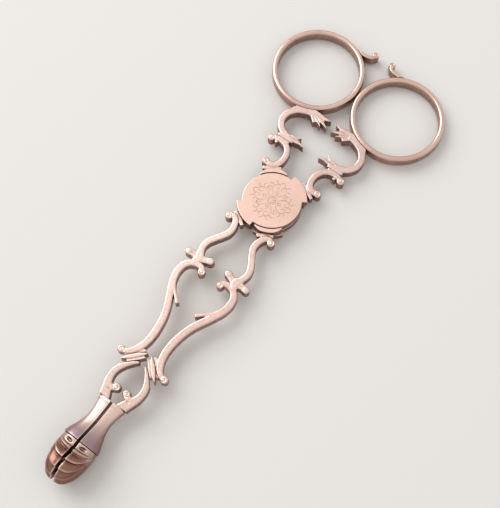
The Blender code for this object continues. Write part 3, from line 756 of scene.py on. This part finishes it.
# Knee scrolls: cast S-scrolls under the joint's lower bars, each on a low foot, with a bead at the top.
knee_drop = 11.25 * MM
knee_reach = 6.7 * MM
knee_width = 1.35 * MM
knee_bead_radius = 0.86 * MM
knot_level = -bar_outer_radius - knee_drop
knee_frame = (-1, knee_reach, -bar_outer_radius, -knee_drop, knee_width)
knee_curve_shares = [
    (0.828, 0.040, 0.92), (0.745, -0.002, 0.96), (0.650, 0.000, 1.00), (0.560, 0.046, 1.05),
    (0.492, 0.125, 1.08), (0.462, 0.215, 1.12), (0.472, 0.320, 1.14), (0.575, 0.444, 1.15),
    (0.735, 0.596, 1.15), (0.845, 0.740, 1.12), (0.850, 0.865, 1.10), (0.780, 0.965, 1.10),
    (0.700, 1.040, 1.20)]
knee_foot_shares = [
    (0.285, 0.062, 0.58), (0.370, 0.020, 0.62), (0.492, -0.034, 0.64), (0.630, -0.072, 0.62),
    (0.755, -0.104, 0.58)]
knee_bead_shares = [(0.824, 0.040)]

knee_parts = [bar(placed(knee_curve_shares, knee_frame)),
              bar(placed(knee_foot_shares, knee_frame), cast_low + foot_step, cast_high - foot_step,
                  foot_edge)]
knee_parts += beads(knee_bead_shares, knee_frame, knee_bead_radius)
knee_path = placed(knee_curve_shares, knee_frame)
knee = cast(knee_parts, flats=[((0, knot_level + seam_room), (0, -1))], rounds=[seat_room(bar_outer_radius)],
            veins=volute(knee_path[2::-1], knee_bead_radius))
# The knees and knots take a paler copy of the same silver than the upper pieces: painted light
cast_finish = old_silver("cast_silver", bright=(0.88, 0.70, 0.61, 1), warm=(0.86, 0.63, 0.55, 1))
seat_pair(knee, "knee_scroll", cast_finish)

# Knot leaves: short cross leaves between the knee scrolls and the long scrolls, a bead at each end.
knot_height = 1.3 * MM
knot_reach = 8.45 * MM
knot_bead_radius = 0.88 * MM
petal_end_radius = 0.78 * MM
knot_grain = 0.09 * MM
knot_frame = (-1, knot_reach, knot_level, knot_height, knot_height)
knot_inner_shares = [(0.290, -0.02, 1.34), (0.375, -0.28, 1.16), (0.470, -0.48, 1.35), (0.580, -0.62, 2.00)]
knot_petal_shares = [(0.560, -0.62, 2.00), (0.670, -0.58, 1.30), (0.770, -0.57, 1.14), (0.878, -0.66, 1.22)]
knot_sleeve_shares = [
    (0.680, 0.75, 0.85), (0.630, 0.20, 1.30), (0.580, -0.55, 1.60), (0.590, -1.20, 1.40),
    (0.650, -1.85, 1.00)]
knot_bead_shares = [(0.285, -0.02)]
petal_end_shares = [(0.890, -0.66)]
petal_vein_shares = [(0.660, -0.54), (0.760, -0.52), (0.860, -0.62)]

knot_parts = [bar(placed(shares, knot_frame)) for shares in (knot_inner_shares, knot_petal_shares)]
knot_parts.append(bar(placed(knot_sleeve_shares, knot_frame), cast_low - bead_rise, cast_high + bead_rise))
knot_parts += beads(knot_bead_shares, knot_frame, knot_bead_radius)
knot_parts += beads(petal_end_shares, knot_frame, petal_end_radius)
knot = cast(knot_parts, veins=chased(petal_vein_shares, knot_frame, [vein_level]), grain=knot_grain,
            smoothing=6)
seat_pair(knot, "knot_leaf", cast_finish)

# Long scrolls: the arms' long S-curves, with a curled top, a split leaf on the inner side and a bead at
# the foot.
long_drop = 24.7 * MM
long_reach = 7.55 * MM
long_width = 1.65 * MM
long_bead_radius = 0.84 * MM
long_level = knot_level - knot_height
long_frame = (-1, long_reach, long_level, -long_drop, long_width)
long_curve_shares = [
    (0.330, 0.072, 0.82), (0.390, 0.042, 0.84), (0.520, 0.034, 0.86), (0.690, 0.046, 0.92),
    (0.834, 0.088, 0.95), (0.893, 0.156, 1.00), (0.862, 0.237, 1.00), (0.748, 0.322, 1.00),
    (0.609, 0.407, 1.00), (0.477, 0.488, 1.00), (0.377, 0.573, 1.00), (0.318, 0.662, 1.02),
    (0.291, 0.751, 1.02), (0.310, 0.840, 1.00), (0.400, 0.925, 0.95), (0.560, 0.985, 0.80),
    (0.720, 1.004, 0.65)]
sole_depth = -0.30 * MM
sole_shares = [(-0.50, 0.7), (-0.25, 1.0), (0.10, 1.0), (0.38, 0.7)]
sole_width = 0.95 * MM
sole_drop = 0.2 * MM
sole_edge = 0.12 * MM
long_leaf_shares = [
    (0.836, 0.200, 0.40), (0.785, 0.258, 0.46), (0.668, 0.316, 0.42), (0.500, 0.363, 0.40),
    (0.300, 0.417, 0.52)]
long_leaf_edge = 0.16 * MM
long_bead_shares = [(0.330, 0.072), (0.742, 1.000)]
waist_seat_share = (0.364, 0.9737)
waist_angle = math.radians(-46)
waist_point = Vector((long_reach * waist_seat_share[0], long_level - long_drop * waist_seat_share[1]))
waist_along = Vector((math.cos(waist_angle), math.sin(waist_angle)))
waist_across = Vector((math.sin(waist_angle), -math.cos(waist_angle)))
waist_length = 5.0 * MM


def across_waist(depth, shares, width, low, high, soft):
    """Lay a bar along the waist's slant, at a depth below its upper seam."""
    points = []
    for along, wide in shares:
        place = waist_point + waist_across * depth + waist_along * waist_length * along
        points.append((-place.x, place.y, width * wide))
    return bar(points, low, high, soft)


long_parts = [bar(placed(long_curve_shares, long_frame)),
              bar(placed(long_leaf_shares, long_frame), soft=long_leaf_edge),
              across_waist(sole_depth, sole_shares, sole_width, cast_low + sole_drop, cast_high - sole_drop,
                           sole_edge)]
long_parts += beads(long_bead_shares, long_frame, long_bead_radius)
long_foot = waist_point - waist_across * seam_room
long_path = placed(long_curve_shares, long_frame)
long_scroll = cast(long_parts, flats=[((0, long_level - seam_room), (0, 1)),
                                      ((-long_foot.x, long_foot.y), (-waist_across.x, waist_across.y))],
                   veins=volute(long_path[2::-1], long_bead_radius)
                   + volute(long_path[-3:], long_bead_radius))
# The long scrolls and waists take a paler copy of the same silver than the upper pieces: painted light
lower_finish = old_silver("lower_silver", bright=(0.90, 0.675, 0.60, 1), warm=(0.86, 0.60, 0.535, 1),
                          wall_shade_share=0.8)
seat_pair(long_scroll, "long_scroll", lower_finish)

# Waist mouldings: slanted collars between the long scrolls and the loops, a broad spindle-shaped bar
# with a thin bar under it.
waist_thickness = 1.5 * MM
waist_rise = 0.2 * MM
waist_low = cast_low - waist_rise
waist_high = cast_high + waist_rise
broad_depth = 0.47 * MM
broad_width = 1.0 * MM
broad_edge = 0.2 * MM
thin_depth = 1.22 * MM
thin_width = 0.55 * MM
thin_edge = 0.14 * MM
filler_depth = 0.75 * MM
filler_width = 1.4 * MM
filler_drop = 0.08 * MM
filler_edge = 0.1 * MM
spindle_shares = [
    (-0.56, 0.22), (-0.42, 0.60), (-0.20, 0.92), (0.05, 1.0), (0.28, 0.86), (0.44, 0.55), (0.56, 0.22)]
thin_shares = [(-0.46, 0.5), (-0.10, 1.0), (0.30, 0.5)]
filler_shares = [(-0.42, 0.9), (0.0, 1.0), (0.34, 0.9)]
loop_level = (waist_point + waist_across * waist_thickness).y

waist_parts = [across_waist(broad_depth, spindle_shares, broad_width, waist_low, waist_high, broad_edge),
               across_waist(filler_depth, filler_shares, filler_width, cast_low + filler_drop,
                            cast_high - filler_drop, filler_edge),
               across_waist(thin_depth, thin_shares, thin_width, waist_low + waist_rise,
                            waist_high - waist_rise, thin_edge)]
waist = cast(waist_parts, grain=leaf_grain)
seat_pair(waist, "waist_moulding", lower_finish)

# Loop scrolls: open loops with a leaf tip above and a bead inside, that carry the grips.
loop_drop = 9.36 * MM
loop_reach = 4.55 * MM
loop_width = 1.5 * MM
loop_bead_radius = 0.86 * MM
grip_gap = 0.7 * MM
grip_level = loop_level - loop_drop
loop_frame = (-1, loop_reach, loop_level, -loop_drop, loop_width)
loop_curve_shares = [
    (0.143, -0.036, 0.35), (0.297, 0.028, 0.50), (0.505, 0.124, 0.75), (0.692, 0.241, 0.95),
    (0.824, 0.402, 1.00), (0.835, 0.551, 1.05), (0.747, 0.722, 1.20), (0.582, 0.880, 1.50),
    (0.440, 1.080, 1.85)]
loop_branch_shares = [(0.780, 0.640, 0.80), (0.590, 0.742, 0.95), (0.400, 0.735, 0.98), (0.290, 0.695, 0.95)]
loop_line_shares = [(0.640, 0.812), (0.520, 0.812), (0.400, 0.800)]
loop_bead_shares = [(0.275, 0.685)]

loop_parts = [bar(placed(shares, loop_frame)) for shares in (loop_curve_shares, loop_branch_shares)]
loop_parts += beads(loop_bead_shares, loop_frame, loop_bead_radius)
loop_top = waist_point + waist_across * (waist_thickness + seam_room)
loop = cast(loop_parts, flats=[((-loop_top.x, loop_top.y), (waist_across.x, -waist_across.y)),
                               ((0, grip_level + seam_room), (0, -1)),
                               ((-grip_gap / 2, 0), (1, 0))],
            veins=volute(placed(loop_branch_shares, loop_frame)[-3:], loop_bead_radius)
            + chased(loop_line_shares, loop_frame))
# The loops take a darker copy of the same silver: painted shade
loop_finish = old_silver("loop_silver", bright=(0.80, 0.60, 0.53, 1), warm=(0.76, 0.53, 0.47, 1))
seat_pair(loop, "loop_scroll", loop_finish)

# Grip stems: half-round cast stems that swell from a collar to the shell, flat where the two arms meet.
collar_width = 2.85 * MM
stem_length = 10.0 * MM
root_height = 6.2 * MM
grip_bulge = 2.6
stem_sides = 48
stem_steps = 6
stem_station_shares = [
    (0.00, 0.96, 0.455), (0.02, 1.00, 0.47), (0.065, 1.00, 0.47), (0.085, 0.955, 0.45), (0.12, 0.92, 0.44),
    (0.28, 0.82, 0.43), (0.42, 0.79, 0.45), (0.58, 0.87, 0.54), (0.74, 1.05, 0.70), (0.88, 1.24, 0.88),
    (0.98, 1.345, 0.985), (1.00, 1.30, 0.965)]
shell_level = grip_level - stem_length


def eased(stations, count):
    """Run a smooth curve through rows of numbers."""
    rows = [stations[0]] + list(stations) + [stations[-1]]
    run = []
    for before, start, end, after in zip(rows, rows[1:], rows[2:], rows[3:]):
        for step in range(count):
            t = step / count
            run.append([0.5 * (2 * b + (c - a) * t + (2 * a - 5 * b + 4 * c - d) * t ** 2
                               + (3 * b - a - 3 * c + d) * t ** 3)
                        for a, b, c, d in zip(before, start, end, after)])
    run.append(list(stations[-1]))
    return run


def half_round_bar(top, length, stations):
    """Extrude a D-shaped section down the grip, and scale it at each station."""
    stations = eased(stations, stem_steps)
    bpy.ops.object.select_all(action="DESELECT")
    bpy.ops.mesh.primitive_circle_add(vertices=stem_sides, radius=1, fill_type="NGON")
    item = bpy.context.object
    for k, corner in enumerate(item.data.vertices):
        turn = math.pi * (k / (stem_sides - 1) - 0.5)
        out = abs(math.cos(turn)) ** (2 / grip_bulge)
        up = math.copysign(abs(math.sin(turn)) ** (2 / grip_bulge), turn)
        corner.co = (-grip_gap / 2 - collar_width * stations[0][1] * out, top,
                     mid_plane + root_height / 2 * stations[0][2] * up)
    edit_all()
    for before, after in zip(stations, stations[1:]):
        run = length * (after[0] - before[0])
        bpy.ops.mesh.extrude_region_move(TRANSFORM_OT_translate={"value": (0, -run, 0)})
        bpy.ops.transform.resize(value=(after[1] / before[1], 1, after[2] / before[2]),
                                 center_override=(-grip_gap / 2, 0, mid_plane))
    leave_edit()
    return item


stem = half_round_bar(grip_level - seam_room, stem_length - seam_room, stem_station_shares)
bpy.ops.object.shade_smooth_by_angle(angle=math.radians(40))
# Stem silver: the mauve tone towards the shell is a painted reflection, and the darker outer sides and the
# slit between the stems are painted shade
stem_finish = old_silver("stem_silver", bright=(0.86, 0.64, 0.56, 1), warm=(0.87, 0.62, 0.53, 1),
                         shade_and_tarnish=(0.24, 0.13, 0.10, 1), roughness=0.32, wall_shade_span=(0.84, 0.25),
                         corner_shade_reach=0.9,
                         tone_along_length=(grip_level - 0.15 * stem_length, shell_level, (0.38, 0.26, 0.28, 1)))
seat_pair(stem, "grip_stem", stem_finish)

# Shells: cast scallops with a hollow towards each other that holds the sugar. A collar with an almond eye
# crosses the root, and the flutes fan from its outer side over the back to the rim, each with a sharp lip.
shell_length = 9.0 * MM
shell_depth = 3.7 * MM
shell_height = 8.4 * MM
shell_wall = 0.75 * MM
flute_count = 9
flute_depth = 0.7 * MM
flute_steps = 14
shell_rows = 60
root_steps = 24
shell_fan_angle = math.radians(138)
ear_share = 0.92
pole_share = 0.06
root_ridge_shares = [
    (0.00, 1.24, 0.90), (0.12, 1.29, 0.94), (0.30, 1.27, 0.93), (0.60, 1.26, 0.93), (0.85, 1.22, 0.92),
    (1.00, 1.10, 0.84)]
root_ridge_length = 1.9 * MM
eye_place = (1.90 * MM, 0.88 * MM, 3.05 * MM)
eye_size = (1.08 * MM, 0.42 * MM, 0.66 * MM)
eye_turn = math.radians(-8)
ridge_place = 0.15
flute_hollow = 1.3


def shell_point(round_share, out_share):
    """Place a point of the shell's back, from its share round the rim and its share out from the root."""
    pole = Vector((grip_gap / 2 + shell_depth, shell_level - shell_length * pole_share, 0))
    heart = Vector((grip_gap / 2, shell_level - shell_length / 2, 0))
    angle = math.pi / 2 * out_share
    out = math.sin(angle) ** (2 / grip_bulge)
    rise = max(0.0, math.cos(angle)) ** (2 / grip_bulge)
    corner = shell_height / 2 * math.sin(shell_fan_angle) * ear_share
    if round_share <= 1:
        turn = shell_fan_angle * (2 * round_share - 1)
        y = heart.y - shell_length / 2 * math.cos(turn)
        z = shell_height / 2 * math.sin(turn)
    else:
        y = shell_level - seam_room
        z = corner * (1 - 2 * (round_share - 1))
    place = Vector((grip_gap / 2 + shell_depth * rise, pole.y + (y - pole.y) * out, z * out))
    if round_share <= 1:
        step = (flute_count * abs(round_share - 0.5) + ridge_place) % 1
        if step < ridge_place:
            valley = 1 - step / ridge_place
        else:
            valley = ((step - ridge_place) / (1 - ridge_place)) ** flute_hollow
        place -= (place - heart).normalized() * flute_depth * valley * out_share ** 0.6
    place.x = max(place.x, grip_gap / 2)
    return Vector((-place.x, place.y, mid_plane + place.z))


fan_steps = flute_count * flute_steps
bpy.ops.object.select_all(action="DESELECT")
bpy.ops.mesh.primitive_grid_add(x_subdivisions=fan_steps + root_steps, y_subdivisions=shell_rows, size=2)
cup = bpy.context.object
for corner in cup.data.vertices:
    column = round((corner.co.x + 1) / 2 * (fan_steps + root_steps))
    row = (corner.co.y + 1) / 2
    share = column / fan_steps if column <= fan_steps else 1 + (column - fan_steps) / root_steps
    corner.co = shell_point(share, row)
edit_all()
leave_edit()
modify(cup, "SOLIDIFY", thickness=shell_wall, offset=-1, use_even_offset=False)
ridge = half_round_bar(shell_level - seam_room, root_ridge_length, root_ridge_shares)
eyes = []
for side in (1, -1):
    bpy.ops.object.select_all(action="DESELECT")
    bpy.ops.mesh.primitive_uv_sphere_add(segments=48, ring_count=24, radius=1, rotation=(0, 0, eye_turn),
                                         location=(-eye_place[0], shell_level - eye_place[1],
                                                   mid_plane + side * eye_place[2]))
    eye = bpy.context.object
    eye.scale = eye_size
    bpy.ops.object.transform_apply(location=True, rotation=True, scale=True)
    eyes.append(eye)
shell = cast([cup, ridge], flats=[((-grip_gap / 2, 0), (1, 0)), ((0, shell_level - seam_room), (0, 1))],
             veins=eyes, smoothing=3)
# Shell silver: the pale lips of the ridges are a painted highlight, the darkened flute hollows and eyes are
# painted shade, and the colour runs from a pale root, a painted highlight, to dark copper towards the tip
shell_finish = old_silver("shell_silver", bright=(0.76, 0.56, 0.50, 1), warm=(0.64, 0.44, 0.38, 1),
                          shade_and_tarnish=(0.12, 0.04, 0.03, 1), roughness=0.22, edge=(0.95, 0.68, 0.57, 1),
                          rim_reach=0.5, rim_span=(0.96, 0.62), wall_shade_share=0.7, wall_shade_span=(0.97, 0.2),
                          corner_shade_reach=1.4, corner_shade_span=(0.96, 0.64),
                          tone_along_length=(shell_level - 1.3 * MM, shell_level - 3.2 * MM, (0.31, 0.155, 0.12, 1)))
seat_pair(shell, "shell", shell_finish)
